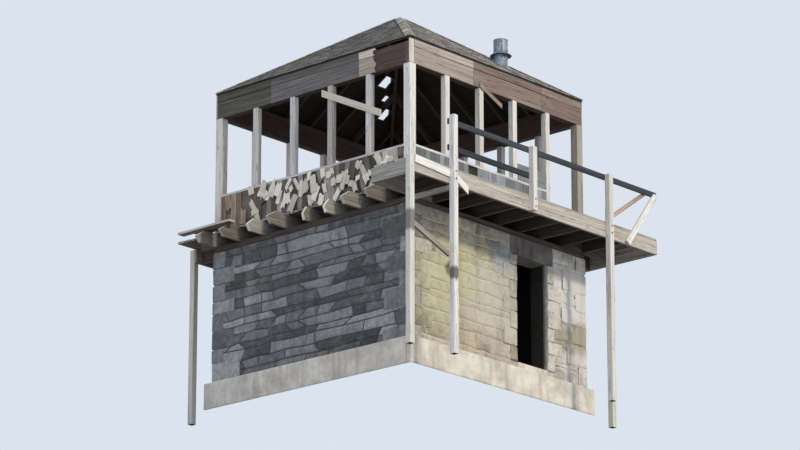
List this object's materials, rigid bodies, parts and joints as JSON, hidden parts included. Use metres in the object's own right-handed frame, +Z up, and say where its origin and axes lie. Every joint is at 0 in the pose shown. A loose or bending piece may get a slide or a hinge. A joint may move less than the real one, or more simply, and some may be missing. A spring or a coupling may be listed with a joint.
{
  "type": "fire lookout tower",
  "caption": "Weathered fire lookout tower: an open timber cab with a hip roof and a broken catwalk on a square rubble stone base with a doorway.",
  "frame": {"origin": "centre of the tower's plan at the lowest ground that its walls and posts meet", "axes": "+Z up, -Y out of the wall with the doorway, +X to the right as seen from in front of the doorway"},
  "size_m": [6.17, 6.17, 6.79],
  "materials": {
    "rubble_stone": "rough rubble with mortar",
    "concrete": "weathered cast concrete",
    "framing_timber": "dark sawn softwood",
    "weathered_timber": "grey weathered softwood",
    "bleached_timber": "sun bleached softwood",
    "dark_timber": "dark weathered softwood",
    "siding": "weathered boards with flaking paint",
    "facing_timber": "brown grey weathered boards",
    "shingles": "grey split shingles",
    "galvanised_steel": "dull galvanised sheet"
  },
  "bodies": {
    "root": {"base_left_wall": "rubble_stone", "base_right_wall": "rubble_stone", "base_back_wall": "rubble_stone", "base_front_left": "rubble_stone", "base_front_right": "rubble_stone", "base_front_top": "rubble_stone", "lintel": "concrete", "threshold": "concrete", "base_floor": "concrete", "footing": "concrete", "wall_plates": "framing_timber", "floor_joists": "framing_timber", "left_outriggers": "framing_timber", "right_outriggers": "framing_timber", "front_rim": "weathered_timber", "side_rims": "weathered_timber", "cab_floor": "weathered_timber", "walk_front": "weathered_timber", "walk_right": "weathered_timber", "walk_back": "weathered_timber", "support_posts": "bleached_timber", "rail_posts": "bleached_timber", "rails": "dark_timber", "leaning_post": "bleached_timber", "walk_braces": "weathered_timber", "corner_posts": "bleached_timber", "front_back_mullions": "bleached_timber", "side_mullions": "weathered_timber", "front_low_wall": "siding", "left_low_wall": "siding", "right_low_wall": "siding", "back_low_wall": "siding", "sills": "weathered_timber", "headers": "framing_timber", "front_facing": "facing_timber", "left_facing": "dark_timber", "rear_facings": "dark_timber", "hip_rafters": "framing_timber", "jack_rafters": "framing_timber", "roof_front": "shingles", "roof_left": "shingles", "roof_right": "shingles", "roof_back": "shingles", "stovepipe": "galvanised_steel", "loose_boards": "bleached_timber"}
  },
  "joints": []
}
